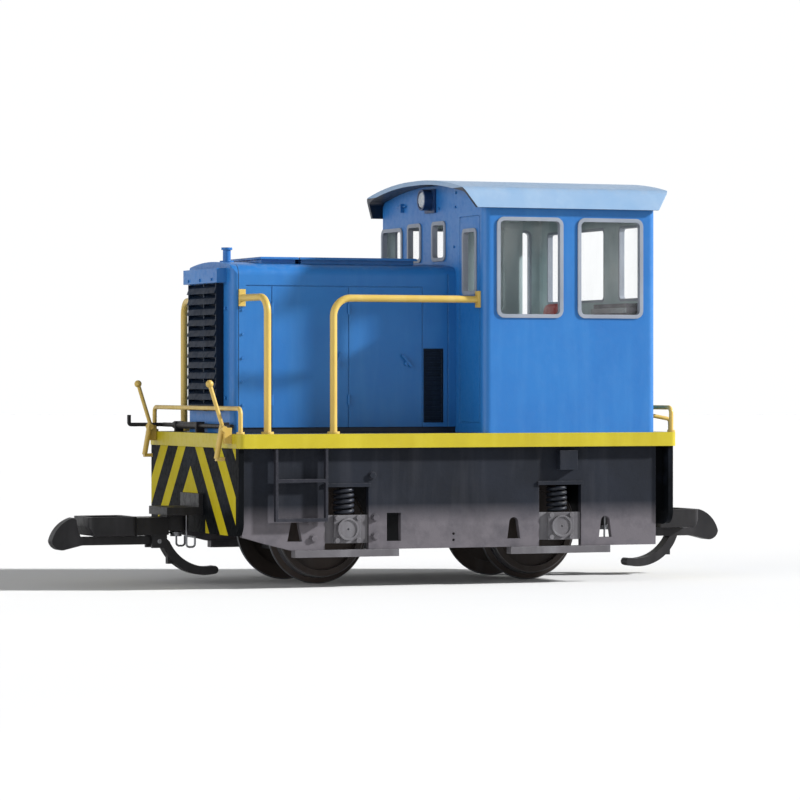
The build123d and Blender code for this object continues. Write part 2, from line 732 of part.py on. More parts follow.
def cab_block(shrink, top):
    """The cab's plan as a block with rounded corners."""
    x = (CAB_REAR + shrink, CAB_FRONT - shrink)
    block = box(x, (shrink - CAB_HALF, CAB_HALF - shrink), (DECK_TOP, top))
    return fillet(block.edges().filter_by(Axis.Z), CAB_CORNER_R - min(shrink, 2.0))


def cab_windows(shrink, deep):
    """Blocks through every window, drawn in from the opening by shrink."""
    blocks = []
    for x in SIDE_WINDOWS_X:
        for side in (-1, 1):
            y = (side * (CAB_HALF - deep[0]), side * (CAB_HALF + deep[1]))
            blocks.append(window_y(inset(x, shrink), inset(WINDOW_Z, shrink), 3.6 - shrink, (min(y), max(y))))
    for y, z, radius in FRONT_WINDOWS:
        x = (CAB_FRONT - deep[0], CAB_FRONT + deep[1])
        blocks.append(window_x(inset(y, shrink), inset(z, shrink), radius - shrink * 0.7, x))
    for y, z, radius in REAR_WINDOWS:
        x = (CAB_REAR - deep[1], CAB_REAR + deep[0])
        blocks.append(window_x(inset(y, shrink), inset(z, shrink), radius - shrink * 0.7, x))
    return blocks


def cab_door_seams():
    """Thin grooves round the front door and the rear door."""
    cutter = None
    for wall_x, out, y in ((CAB_FRONT, 1, (34.9, 58.4)), (CAB_REAR, -1, (-58.4, -34.9))):
        x = (wall_x - out * 0.4, wall_x + out * 1.0)
        x = (min(x), max(x))
        rim = box(x, y, (72.5, 166.0)) - box(x, inset(y, 0.5), (73.0, 165.5))
        cutter = rim if cutter is None else cutter + rim
    return cutter


def cab_shell():
    """The cab walls with their window openings and the headlight holes."""
    walls = cab_block(0, 190.0) - cab_block(CAB_WALL, 191.0)
    under_roof = along_x(roof_face(ROOF_THICK + 0.05, 60.0), (-130.0, 0.0))
    knuckles = roof_knuckle_edges(under_roof, ROOF_KNUCKLE[1] - ROOF_THICK)
    under_roof = fillet(knuckles, ROOF_KNUCKLE_R - ROOF_THICK)
    walls = walls & under_roof
    for block in cab_windows(0.5, (5.0, 5.0)):
        walls -= block
    walls -= cab_door_seams()
    for wall_x in (CAB_FRONT, CAB_REAR):
        walls -= rod_x(2.0, (wall_x - 5.0, wall_x + 5.0), 0.9, HEADLIGHT_Z)
    return walls


def window_gaskets():
    """A rubber profile round each opening, proud of the wall outside."""
    outer = cab_windows(0.5, (CAB_WALL, 0.0))
    lip = cab_windows(0.0, (0.0, 0.6))
    hole = cab_windows(GASKET, (5.0, 5.0))
    return [(sleeve + rim) - opening for sleeve, rim, opening in zip(outer, lip, hole)]


def window_panes():
    return cab_windows(GASKET, (1.4, -0.6))


def headlight_housing(wall_x, out):
    """A short drum with a rim on a square back plate."""
    plate_face = wall_x + out * 1.0
    half = 6.0
    plate_z = (HEADLIGHT_Z - half, HEADLIGHT_Z + half - 1.0)
    housing = box((wall_x, plate_face), (0.9 - half, 0.9 + half), plate_z)
    drum = sorted((plate_face, wall_x + out * 5.2))
    bowl = sorted((wall_x + out * 2.0, wall_x + out * 7.0))
    housing += rod_x(4.9, drum, 0.9, HEADLIGHT_Z)
    housing -= rod_x(4.0, bowl, 0.9, HEADLIGHT_Z)
    return housing - rod_x(1.6, (wall_x - 9.0, wall_x + 9.0), 0.9, HEADLIGHT_Z)


def headlight_lens(wall_x, out):
    """A lens with a rounded outer edge, let into the drum."""
    back = wall_x + out * 3.6
    front = wall_x + out * 5.4
    lens = rod_x(3.95, sorted((back, front)), 0.9, HEADLIGHT_Z)
    rim = lens.edges().filter_by(GeomType.CIRCLE).sort_by(Axis.X)[-1 if out > 0 else 0]
    return fillet(rim, 1.4)


def headlight_led(wall_x, out):
    ends = sorted((wall_x - out * 3.0, wall_x + out * 1.9))
    tip = Pos(wall_x + out * 1.9, 0.9, HEADLIGHT_Z) * Sphere(1.5)
    return rod_x(1.5, ends, 0.9, HEADLIGHT_Z) + tip


def cab_floor():
    """The floor tray inside the cab walls."""
    x = (CAB_REAR + CAB_WALL + 0.3, CAB_FRONT - CAB_WALL - 0.3)
    y = CAB_HALF - CAB_WALL - 0.3
    floor = box(x, (-y, y), (DECK_TOP, DECK_TOP + 2.0))
    return fillet(floor.edges().filter_by(Axis.Z), CAB_CORNER_R - CAB_WALL)


def control_console():
    """The driver's desk against the front wall, with gauges and two levers."""
    floor = DECK_TOP + 2.0
    front = CAB_FRONT - CAB_WALL - 0.5
    desk = box((front - 12.0, front), (-26.0, 22.0), (floor, 118.0))
    top = plate_xz(
        [(front, 118.0), (front, 126.0), (front - 5.0, 126.0), (front - 12.0, 118.0)], (-26.0, 22.0)
    )
    console = desk + top
    for y in (-18.0, -8.0, 4.0, 14.0):
        gauge = Pos(front - 8.6, y, 122.0) * Rot(0, -49, 0) * Cylinder(2.8, 1.2)
        console += gauge
    return console


def control_levers():
    """Throttle and brake levers with knobs on top of the desk."""
    levers = []
    for y in (-22.5, 18.5):
        x = CAB_FRONT - CAB_WALL - 3.0
        stem = rod_z(0.7, x, y, (126.0, 134.0))
        levers.append(stem + Pos(x, y, 135.0) * Sphere(1.6))
    return levers


def driver_seat():
    """A padded seat on a pedestal, facing the hood."""
    floor = DECK_TOP + 2.0
    back_x = -69.0
    cushion_x = (back_x, back_x + 24.0)
    y = (24.0, 48.0)
    middle = (back_x + 12.0, 36.0)
    cushion = fillet(box(cushion_x, y, (98.0, 105.0)).edges(), 2.0)
    back = fillet(box((back_x, back_x + 6.0), y, (106.0, 127.0)).edges(), 1.8)
    post = rod_z(3.0, *middle, (floor + 1.5, 98.5))
    foot = rod_z(7.0, *middle, (floor, floor + 1.5))
    link = box((back_x + 1.0, back_x + 3.6), (33.0, 39.0), (102.0, 110.0))
    return cushion + back + post + foot + link


def equipment_cabinet():
    """The tall cabinet on the far wall, with its raised door and a conduit."""
    floor = DECK_TOP + 2.0
    wall = CAB_WALL + 0.3 - CAB_HALF
    x = (-86.0, -62.0)
    cabinet = box(x, (wall, wall + 12.0), (floor, 169.0))
    door = box(inset(x, 2.0), (wall + 12.0, wall + 12.6), (80.0, 165.0))
    latch = box((-68.0, -65.6), (wall + 12.6, wall + 14.0), (126.0, 131.0))
    conduit = bent_tube(
        [(-76.0, wall + 13.2, 165.0), (-76.0, wall + 13.2, 126.0), (-66.0, wall + 13.2, 122.0)], 4.0, 0.7
    )
    return cabinet + door + latch + conduit


def brake_stand():
    """The low stand behind the driver, with a ledge round its top."""
    floor = DECK_TOP + 2.0
    x = (-100.0, -91.0)
    y = (22.0, 58.0)
    stand = box(x, y, (floor, 127.0))
    ledge = box((x[0], x[1] + 1.0), (y[0] - 1.0, y[1] + 1.0), (122.6, 125.0))
    return stand + ledge


# ---- rails and fittings --------------------------------------------------------------
def base_flange(x, y, radius):
    return rod_z(radius, x, y, (DECK_TOP, DECK_TOP + 1.0))


def walkway_rail():
    """The long handrail from the deck up and back to the cab front."""
    post_x = 51.8
    plate_face = CAB_FRONT + 1.1
    tube = bent_tube(
        [(post_x, RAIL_Y, DECK_TOP), (post_x, RAIL_Y, RAIL_TOP), (plate_face - 0.5, RAIL_Y, RAIL_TOP)],
        8.0,
        RAIL_R,
    )
    plate = box((CAB_FRONT, plate_face), (RAIL_Y - 2.0, RAIL_Y + 2.0), (RAIL_TOP - 3.7, RAIL_TOP + 3.7))
    return tube + plate + base_flange(post_x, RAIL_Y, 2.8)


def hood_grab_rail():
    """The shorter handrail from the deck up and in to the hood side."""
    post = (82.8, RAIL_Y)
    root = (85.4, HOOD_HALF + 0.6)
    tube = bent_tube(
        [
            (post[0], post[1], DECK_TOP),
            (post[0], post[1], RAIL_TOP + 0.3),
            (root[0], root[1], RAIL_TOP + 0.3),
        ],
        7.0,
        RAIL_R,
    )
    plate = box(
        (root[0] - 1.6, root[0] + 1.4), (HOOD_HALF, HOOD_HALF + 1.1), (RAIL_TOP - 3.4, RAIL_TOP + 4.2)
    )
    return tube + plate + base_flange(post[0], post[1], 2.8)


def end_rail(x):
    """A low rail across the end of the deck, on four feet."""
    half = 60.2
    tube = bent_tube(
        [(x, -half, DECK_TOP), (x, -half, END_RAIL_TOP), (x, half, END_RAIL_TOP), (x, half, DECK_TOP)],
        2.6,
        END_RAIL_R,
    )
    return tube + base_flange(x, -half, 1.8) + base_flange(x, half, 1.8)


def cut_lever(out):
    """A lever with a ball knob, pivoted in a lug on the deck's edge."""
    edge = DECK_FRONT if out > 0 else DECK_REAR
    y = 51.0
    pivot = (edge + out * 3.4, 72.0)
    ball = (edge + out * 9.2, 90.2)
    foot = (edge + out * 6.0, 57.4)
    top = bent_tube([(pivot[0], y, pivot[1]), (ball[0], y, ball[1])], 1.0, 0.9)
    lower = bent_tube([(pivot[0], y, pivot[1]), (foot[0], y, foot[1])], 1.0, 1.2)
    toe = box(
        (min(foot[0] + 0.4, foot[0] - out * 3.6), max(foot[0] + 0.4, foot[0] - out * 3.6)),
        (y - 1.0, y + 1.0),
        (foot[1] - 1.0, foot[1] + 0.6),
    )
    lug = box((min(edge, pivot[0]), max(edge, pivot[0])), (y + 1.0, y + 3.2), (64.0, 71.0))
    pin = rod_y(1.3, pivot[0] - out * 0.2, (y - 1.4, y + 3.2), 70.4)
    knob = Pos(ball[0], y, ball[1]) * Sphere(1.7)
    return top + lower + toe + lug + pin + knob


def rear_hook_bar():
    """The shorter yellow bracket on the rear edge of the deck."""
    edge = DECK_REAR
    y = 51.0
    bar = bent_tube([(edge - 2.0, y, 66.0), (edge - 2.4, y, 55.0)], 1.0, 1.1)
    lug = box((edge - 2.8, edge), (y - 1.4, y + 1.4), (62.6, 67.2))
    loop = bent_tube(
        [(edge - 2.0, y, 66.0), (edge - 2.0, y, 74.0), (edge + 9.0, y, 76.0)], 2.0, 0.9
    )
    return bar + lug + loop


def uncoupling_rod(out):
    """The black operating rod that crosses the deck in two stands."""
    edge = DECK_FRONT if out > 0 else DECK_REAR
    x = edge - out * 5.0
    z = DECK_TOP + 3.1
    rod = rod_y(1.0, x, (-56.0, 40.0), z) + rod_y(1.6, x, (-40.0, -6.0), z)
    crank = bent_tube([(x, -56.0, z), (x + out * 16.0, -59.0, z), (x + out * 16.0, -59.0, z + 4.5)], 1.0, 0.9)
    parts = rod + crank
    for y in (-34.0, -4.0, 30.0):
        parts += box((x - 2.0, x + 2.0), (y - 0.8, y + 0.8), (DECK_TOP, z + 1.8))
    return parts


def ladder():
    """Two stiles and two treads below the deck edge."""
    z_low = 29.6
    stiles = None
    for x in LADDER_X:
        stile = box((x - 0.55, x + 0.55), LADDER_Y, (z_low, DECK_BOTTOM))
        stiles = stile if stiles is None else stiles + stile
    for z in (z_low, 46.9):
        stiles += box(LADDER_X, LADDER_Y, (z, z + 1.5))
    return stiles


def side_box():
    """The small box under the deck edge."""
    return box((-64.6, -55.9), (FRAME_Y, FRAME_Y + 3.6), (51.4, 60.2))


# ---- couplers -------------------------------------------------------------------------
def coupler_mount(shelf_x, flange_x):
    """The bracket on the end plate, with the post that the drawbar swings on."""
    z = (LOOP_TOP + 0.4, LOOP_TOP + 4.0)
    shelf = box(shelf_x, (-13.0, 13.0), z)
    flange = box(flange_x, (-13.0, 13.0), (z[0], z[1] + 6.0))
    post = rod_z(SWING_POST_R, SWING_X, 0, (23.6, z[0]))
    return shelf + flange + post


def centring_spring():
    """The bent wire under the bracket that brings the drawbar back to the middle."""
    wire_r = 0.45
    x = (99.4, 103.4)
    z = (16.9, 21.4)
    y = 7.2
    loop = [(x[0], -y, z[1]), (x[0], -y, z[0]), (x[1], -y, z[0]), (x[1], -y, LOOP_TOP + 0.4)]
    left = bent_tube(loop, 1.4, wire_r)
    cross = bent_tube([(x[0], -y, z[1]), (x[0], y, z[1])], 1.0, wire_r)
    right = bent_tube([(px, -py, pz) for px, py, pz in loop], 1.4, wire_r)
    return left + cross + right


def swing_screw():
    """The screw and washer that hold the drawbar on its post."""
    washer = rod_z(4.0, SWING_X, 0, (22.9, 23.6))
    head = rod_z(2.6, SWING_X, 0, (21.6, 22.9))
    slot = box((SWING_X - 3, SWING_X + 3), (-0.3, 0.3), (21.0, 22.1))
    return washer + head - slot


def drawbar():
    """The drawbar: a bored tongue, a box-section shank and the open loop."""
    bottom = LOOP_TOP - LOOP_HEIGHT
    tongue_z = (24.2, LOOP_TOP)
    tongue = rod_z(5.6, SWING_X, 0, tongue_z) + box((SWING_X, 112.0), (-5.6, 5.6), tongue_z)
    shank = plate_xy(
        [(111.5, -6.5), (LOOP_X[0], -10.5), (LOOP_X[0], 10.5), (111.5, 6.5)], (bottom, LOOP_TOP - 0.6)
    )
    hollow = plate_xy(
        [(115.0, -4.4), (LOOP_X[0] - 2.5, -7.8), (LOOP_X[0] - 2.5, 7.8), (115.0, 4.4)],
        (bottom - 1.0, LOOP_TOP - 2.4),
    )
    outer = box(LOOP_X, (-LOOP_HALF, LOOP_HALF), (bottom, LOOP_TOP))
    outer = fillet(outer.edges().filter_by(Axis.Z), 2.6)
    slope = plate_xz(
        [(LOOP_X[1] - 3.0, bottom - 1), (LOOP_X[1] + 1, bottom - 1), (LOOP_X[1] + 1, bottom + 6.0)],
        (-20.0, 20.0),
    )
    inner_x = inset(LOOP_X, LOOP_WALL)
    inner = box(inner_x, (LOOP_WALL - LOOP_HALF, LOOP_HALF - LOOP_WALL), (0, 60.0))
    bar = tongue + (shank - hollow) + (outer - slope - inner)
    for side in (-1, 1):
        y = (side * (HOOK_HALF + 0.4), side * (HOOK_HALF + 2.4))
        ear = box((112.0, 119.0), (min(y), max(y)), (16.6, bottom + 3.0))
        bar += ear
    bar -= rod_y(HOOK_PIN_R, HOOK_PIVOT[0], (-9.0, 9.0), HOOK_PIVOT[1])
    bar -= rod_z(SWING_POST_R + RUNNING_GAP, SWING_X, 0, (10.0, 40.0))
    return bar


def coupler_hook(tail_shift):
    """The rocking hook: a nose in front of the loop, an arm and a curved tail under it."""
    arm_top = 21.9
    nose = [
        Line((112.6, arm_top), (151.6, arm_top)),
        ThreePointArc((151.6, arm_top), (153.0, 26.0), (153.6, 29.6)),
        Line((153.6, 29.6), (155.0, 30.6)),
        ThreePointArc((155.0, 30.6), (161.6, 26.6), (COUPLER_TIP, 20.2)),
        ThreePointArc((COUPLER_TIP, 20.2), (163.0, 17.0), (158.6, 16.4)),
        Line((158.6, 16.4), (151.0, 18.2)),
        Line((151.0, 18.2), (112.6, 18.2)),
        Line((112.6, 18.2), (112.6, arm_top)),
    ]
    tail = [
        Line((118.6, arm_top), (112.8, arm_top)),
        Line((112.8, arm_top), (110.0, 19.4)),
        ThreePointArc((110.0, 19.4), (103.4, 11.4), (88.4, 8.0)),
        ThreePointArc((88.4, 8.0), (86.8, 6.2), (88.4, 4.4)),
        ThreePointArc((88.4, 4.4), (104.8, 7.4), (113.4, 18.2)),
        Line((113.4, 18.2), (118.6, 18.2)),
        Line((118.6, 18.2), (118.6, arm_top)),
    ]
    y = (-HOOK_HALF, HOOK_HALF)
    hook = None
    for outline, shift in ((nose, 0.0), (tail, tail_shift)):
        piece = Pos(shift, 0, 0) * along_y(make_face(outline), y)
        hook = piece if hook is None else hook + piece
    hook += Pos(tail_shift, 0, 0) * box((107.4, 110.4), (-1.6, 1.6), (9.2, 13.6))
    return hook - rod_y(HOOK_PIN_R + RUNNING_GAP, HOOK_PIVOT[0], (-9.0, 9.0), HOOK_PIVOT[1])


def hook_pin():
    return rod_y(HOOK_PIN_R, HOOK_PIVOT[0], (-HOOK_HALF - 2.4, HOOK_HALF + 2.4), HOOK_PIVOT[1])


# ---- electronics -----------------------------------------------------------------------
def circuit_board():
    """The main board on posts above the gearbox, with its chips and terminals."""
    board = box((-6.0, 58.0), (-18.0, 18.0), (84.0, 85.6))
    for x, y in ((6.0, -8.0), (24.0, 6.0), (42.0, -6.0)):
        board += box((x - 5.0, x + 5.0), (y - 4.0, y + 4.0), (85.6, 88.0))
    for x in (-2.0, 54.0):
        board += box((x - 2.5, x + 2.5), (-14.0, 14.0), (85.6, 91.0))
    for x, y in ((0.0, -15.5), (0.0, 15.5), (52.0, -15.5), (52.0, 15.5)):
        board += rod_z(1.8, x, y, (DECK_TOP, 84.0))
    return board


def ballast_weight():
    """The steel weight across the deck inside the hood."""
    return box((6.0, 46.0), (-13.0, 13.0), (DECK_TOP, DECK_TOP + 12.0))


def body_screw(x, y):
    """A screw up through the deck into the body."""
    head = rod_z(2.6, x, y, (DECK_TOP - DECK_SKIN - 1.6, DECK_TOP - DECK_SKIN))
    slot = box((x - 3, x + 3), (y - 0.3, y + 0.3), (60.0, DECK_TOP - DECK_SKIN - 1.0))
    return head - slot


def write_wheelsets():
    for name, axle_x in (("front", FRONT_AXLE_X), ("rear", REAR_AXLE_X)):
        pair = both_sides(wheel(axle_x))
        if name == "rear":
            pair[0] -= traction_tyre(axle_x)
            save("rear_traction_tyre", traction_tyre(axle_x))
        save(name + "_wheels", *pair)
        save(name + "_axle", axle(axle_x))
        save(name + "_axle_gear", axle_gear(axle_x))


def write_drive():
    save("motor_shaft", motor_shaft())
    save("worms", *[worm(axle_x) for axle_x in AXLE_XS])
    save("motor", motor_can())
    housing = gearbox_housing()
    for axle_x in AXLE_XS:
        for side in (-1, 1):
            housing += shaft_bearing(axle_x, side)
    housing -= rod_x(MOTOR_R + 0.4, (MOTOR_X[0] - 0.4, MOTOR_X[1] + 0.4), 0, SHAFT_Z)
    save("gearbox_housing", housing)
    save("gearbox_cover", gearbox_cover())
    save("axle_bushes", *[axle_bush(axle_x, side) for axle_x in AXLE_XS for side in (-1, 1)])
    wipers = [wheel_pickup(axle_x) for axle_x in AXLE_XS]
    save("wheel_pickups", *[side for wiper in wipers for side in both_sides(wiper)])


def write_frame():
    left = side_frame()
    save("left_side_frame", left)
    save("right_side_frame", mirror(left, Plane.XZ))
    save("front_pilot", end_pilot(PILOT_FRONT, PILOT_FRONT - PILOT_THICK, PILOT_BOTTOM, 86.0))
    rear_plate = end_pilot(
        REAR_PILOT_BACK, REAR_PILOT_BACK + PILOT_THICK, REAR_PILOT_BOTTOM, -100.0
    )
    drawbar_slot = box((-120.0, -105.0), (-13.2, 13.2), (20.0, LOOP_TOP + 4.2))
    save("rear_pilot", rear_plate - drawbar_slot)
    groups = {
        "axleboxes": axlebox,
        "axlebox_covers": axlebox_cover,
        "suspension_springs": suspension_spring,
        "keeper_bars": keeper_bar,
    }
    for node, make in groups.items():
        save(node, *[side for axle_x in AXLE_XS for side in both_sides(make(axle_x))])
    bolt_places = ((32.4, 31.0), (32.4, 22.7), (61.5, 22.1), (63.6, 29.6), (33.9, 49.6))
    bolts = [side for x, z in bolt_places for side in both_sides(frame_bolt(x, z))]
    save("frame_bolts", *bolts)
    save("side_boxes", *both_sides(side_box()))
    save("ladders", *both_sides(ladder()))


def write_body():
    save("walkway_deck", deck())
    save("hood_shell", hood_shell())
    handles = [door_handle(6.4, 100.6, 40.0), door_handle(39.3, 101.0, -14.0)]
    fittings = [side for part in hood_rivets() + handles for side in both_sides(part)]
    save("body_fittings", *fittings, cab_front_bracket(), *cab_rivets(), *radiator_bolts())
    save("hood_grilles", *both_sides(hood_grille()))
    save("radiator_shell", radiator_shell())
    save("radiator_shroud", radiator_shroud())
    save("radiator_louvers", radiator_louvers())
    save("hood_hatches", hood_hatch((54.9, 73.5)), hood_hatch((-2.6, 54.5)))
    save("exhaust_stack", exhaust_stack())
    save("cab_shell", cab_shell())
    save("cab_roof", cab_roof())
    save("window_gaskets", *window_gaskets())
    save("window_panes", *window_panes())
    walls = ((CAB_FRONT, 1), (CAB_REAR, -1))
    save("headlight_housings", *[headlight_housing(*wall) for wall in walls])
    save("headlight_lenses", *[headlight_lens(*wall) for wall in walls])
    save("headlight_leds", *[headlight_led(*wall) for wall in walls])
    save("cab_floor", cab_floor())
    stands = (equipment_cabinet(), brake_stand())
    save("control_console", control_console(), *control_levers(), *stands)
    save("driver_seat", driver_seat())


def write_fittings():
    for node, part in (("walkway_rails", walkway_rail()), ("hood_grab_rails", hood_grab_rail())):
        save(node, *both_sides(part))
    save("end_rails", end_rail(DECK_FRONT - 1.9), end_rail(DECK_REAR + 1.9))
    save("cut_levers", *both_sides(cut_lever(1)), *both_sides(rear_hook_bar()))
    save("uncoupling_rods", uncoupling_rod(1), uncoupling_rod(-1))


def write_couplers():
    rear_inside = -REAR_PILOT_BACK - PILOT_THICK
    front_mount = coupler_mount((PILOT_FRONT, 114.5), (PILOT_FRONT, PILOT_FRONT + 2.0))
    rear_mount = coupler_mount((99.5, rear_inside), (rear_inside - 2.0, rear_inside))
    save("coupler_mounts", front_mount, mirror(rear_mount, Plane.YZ))
    save("centring_springs", *both_ends(centring_spring()))
    for node, part in (("drawbar", drawbar()), ("hook_pin", hook_pin())):
        front, rear = both_ends(part)
        save("front_" + node, front)
        save("rear_" + node, rear)
    save("front_coupler_hook", coupler_hook(0.0))
    save("rear_coupler_hook", mirror(coupler_hook(REAR_TAIL_SHIFT), Plane.YZ))


def write_electronics():
    save("circuit_board", circuit_board())
    save("ballast_weight", ballast_weight())
    body_screws = [body_screw(x, y) for x in (-80.0, 70.0) for y in (-24.0, 24.0)]
    gearbox_screws = [gearbox_screw(x, y) for x, y in GEARBOX_SCREWS]
    save("assembly_screws", *body_screws, *gearbox_screws, *both_ends(swing_screw()))


os.makedirs("parts", exist_ok=True)
write_wheelsets()
write_drive()
write_frame()
write_body()
write_fittings()
write_couplers()
write_electronics()
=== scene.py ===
import bmesh
import bpy
import json
import math
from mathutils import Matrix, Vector


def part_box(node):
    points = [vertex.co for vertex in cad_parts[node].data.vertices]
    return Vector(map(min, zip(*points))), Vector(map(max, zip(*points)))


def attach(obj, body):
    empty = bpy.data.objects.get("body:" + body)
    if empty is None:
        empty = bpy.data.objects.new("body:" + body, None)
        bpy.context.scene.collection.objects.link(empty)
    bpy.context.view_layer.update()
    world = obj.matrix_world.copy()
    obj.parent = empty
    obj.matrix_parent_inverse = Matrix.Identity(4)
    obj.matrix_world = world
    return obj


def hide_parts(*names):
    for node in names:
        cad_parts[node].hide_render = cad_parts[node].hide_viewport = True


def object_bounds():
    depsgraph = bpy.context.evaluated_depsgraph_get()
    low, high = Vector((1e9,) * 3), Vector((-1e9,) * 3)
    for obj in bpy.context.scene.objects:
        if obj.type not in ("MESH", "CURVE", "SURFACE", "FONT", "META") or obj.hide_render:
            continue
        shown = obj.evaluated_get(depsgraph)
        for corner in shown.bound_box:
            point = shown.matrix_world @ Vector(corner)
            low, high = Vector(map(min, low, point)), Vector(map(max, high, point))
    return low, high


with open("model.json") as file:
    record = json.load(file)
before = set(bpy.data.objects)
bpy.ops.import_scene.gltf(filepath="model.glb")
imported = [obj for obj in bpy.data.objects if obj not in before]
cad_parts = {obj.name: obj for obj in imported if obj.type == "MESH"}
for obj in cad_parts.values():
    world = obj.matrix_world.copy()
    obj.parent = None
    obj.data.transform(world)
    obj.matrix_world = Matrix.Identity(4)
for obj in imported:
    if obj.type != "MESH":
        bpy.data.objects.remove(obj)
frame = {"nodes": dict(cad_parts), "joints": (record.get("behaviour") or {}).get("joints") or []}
CAD_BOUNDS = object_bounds()
NODES = frame["nodes"]
MM = 0.001

# ---- camera and light ------------------------------------------------------------
CAMERA_PLACE = (0.6415, 1.6072, 0.0908)
CAMERA_TURN = math.radians(21.847)
CAMERA_TILT = math.radians(0.2657)
LENS = 168.8
SENSOR = 36.0
SUN_DIRECTION = (0.83, -0.34, -0.47)
SUN_STRENGTH = 7.0
SUN_ANGLE = math.radians(4.0)
FILL_DIRECTION = (-0.93, -0.22, -0.12)
FILL_STRENGTH = 1.7
FILL_ANGLE = math.radians(50.0)
SKY_COLOUR = (0.98, 0.99, 1.0, 1.0)
SKY_FADE = (0.12, 0.5)
SKY_STRENGTH = (1.02, 0.30)
FLOOR_RADIUS = 9.0
FLOOR_SEGMENTS = 96
FLOOR_DROP = 0.02 * MM

# ---- where paint changes on the CAD pieces, in millimetres ---------------------------
LINING_Y = 61.2
LINING_X = (-101.8, -19.7)
# Painted shade: the recess along the hood's base, below this height and ahead of the cab.
HOOD_SHADE_TOP = 70.8
HOOD_SHADE_REAR = -17.95
HOOD_SEAM_X = 86.8
HOOD_SEAM_HALF = 0.15
DECK_WALK_Y = 60.5
DECK_WALK_X = (-112.0, 96.0)
# Painted sunlight: the side plates turn pale between these heights, downwards.
FRAME_SUNLIT_Z = (37.0, 28.0)
WHEEL_TREAD_R = 20.0
STAND_FRONT_X = -90.0
STAND_RIGHT_Y = 0.05

# ---- hazard stripes, in millimetres -------------------------------------------------
STRIPE_CENTRE_Y = -4.5
STRIPE_SLOPE = 0.89
STRIPE_TOP_Z = 61.2
STRIPE_PITCH = 25.4
STRIPE_WIDTH = 11.0
STRIPE_FIRST = 7.2
STRIPE_EDGE = 0.06
STRIPE_LEFT_Y = 57.5
STRIPE_FACE_X = 97.3
COUPLER_GAP_HALF = 21.0
COUPLER_GAP_TOP = 38.5

# ---- seat, in millimetres from its lowest corner --------------------------------------
SEAT_PAD_Z = (27.8, 34.8)
SEAT_BACK_THICK = 6.0
SEAT_GAP = 0.6
SEAT_CROWN = 0.22
SEAT_CHANNELS = (-0.34, 0.34)
# Radius and height pairs: the foot up from the floor, the cup from under the pad.
PEDESTAL_FOOT = ((6.6, 0.0), (7.0, 0.3), (7.0, 1.1), (6.4, 1.6), (3.6, 2.6), (3.0, 4.2))
PEDESTAL_CUP = ((3.0, -2.4), (5.4, -0.6), (5.4, 1.6))

# ---- colours as the shaders take them ----------------------------------------------


def colour(red, green, blue):
    """Display values from 0 to 255 as linear values."""
    values = []
    for value in (red, green, blue):
        share = value / 255
        values.append(share / 12.92 if share <= 0.04045 else ((share + 0.055) / 1.055) ** 2.4)
    return (*values, 1.0)


BLACK = colour(9, 11, 14)
WHITE = colour(232, 232, 228)
DUST = colour(150, 146, 138)
BLUE = colour(33, 101, 165)
BLUE_DEEP = colour(26, 89, 154)
BLUE_PALE = colour(70, 127, 180)
BLUE_BLACK = colour(15, 28, 46)
LOUVER_PALE = colour(44, 62, 84)
# A darker copy of the body blue: painted shade on the headlight housings.
LAMP_SHADE_BLUE = colour(22, 52, 96)
INTERIOR = colour(168, 186, 188)
INTERIOR_DEEP = colour(132, 154, 156)
# Paler copies of the body blue: painted highlight of glare on the roof.
ROOF_GLARE_BLUE = colour(126, 150, 176)
ROOF_GLARE_DEEP = colour(98, 136, 172)
ROOF_GLARE_PALE = colour(158, 176, 190)
YELLOW = colour(172, 158, 24)
YELLOW_DEEP = colour(152, 136, 20)
YELLOW_PALE = colour(196, 184, 62)
RAIL_YELLOW = colour(190, 164, 84)
RAIL_DEEP = colour(172, 138, 62)
RAIL_PALE = colour(208, 190, 134)
CHASSIS = colour(27, 31, 40)
CHASSIS_DUST = colour(72, 72, 78)
# Painted sunlight on the lower side plates.
FRAME_SUNLIT = colour(100, 96, 101)
IRON = colour(90, 88, 92)
IRON_DARK = colour(42, 40, 44)
COUPLER = colour(38, 37, 39)
COUPLER_PALE = colour(84, 82, 85)
STEP_GREY = colour(36, 36, 43)
STEP_PALE = colour(98, 98, 104)
RUBBER_GREY = colour(134, 141, 153)
RUBBER_DEEP = colour(104, 110, 120)
RUBBER_PALE = colour(160, 166, 174)
STEEL = colour(150, 152, 156)
STEEL_DARK = colour(92, 92, 96)
WHEEL_DARK = colour(62, 54, 50)
BRONZE = colour(170, 122, 66)
BRONZE_DEEP = colour(120, 84, 44)
GEAR_WHITE = colour(196, 192, 178)
GEARBOX_GREY = colour(34, 36, 40)
TYRE = colour(22, 22, 24)
SEAT_RED = colour(196, 62, 52)
SEAT_DARK = colour(150, 40, 36)
SEAT_PALE = colour(178, 84, 80)
BOARD_GREEN = colour(34, 92, 58)
BOARD_PALE = colour(76, 138, 96)
STAND_GREY = colour(96, 90, 98)
GLASS = colour(206, 220, 226)
LENS_BLUE = colour(174, 191, 213)
LED_WARM = colour(214, 206, 170)
FLOOR_GREY = colour(214, 214, 214)
FLOOR_PALE = colour(217, 217, 217)

# Base, deep and pale tones that several finishes share.
BLUE_TONES = (BLUE, BLUE_DEEP, BLUE_PALE)
YELLOW_TONES = (YELLOW, YELLOW_DEEP, YELLOW_PALE)
GEARBOX_TONES = (GEARBOX_GREY, BLACK, IRON_DARK)


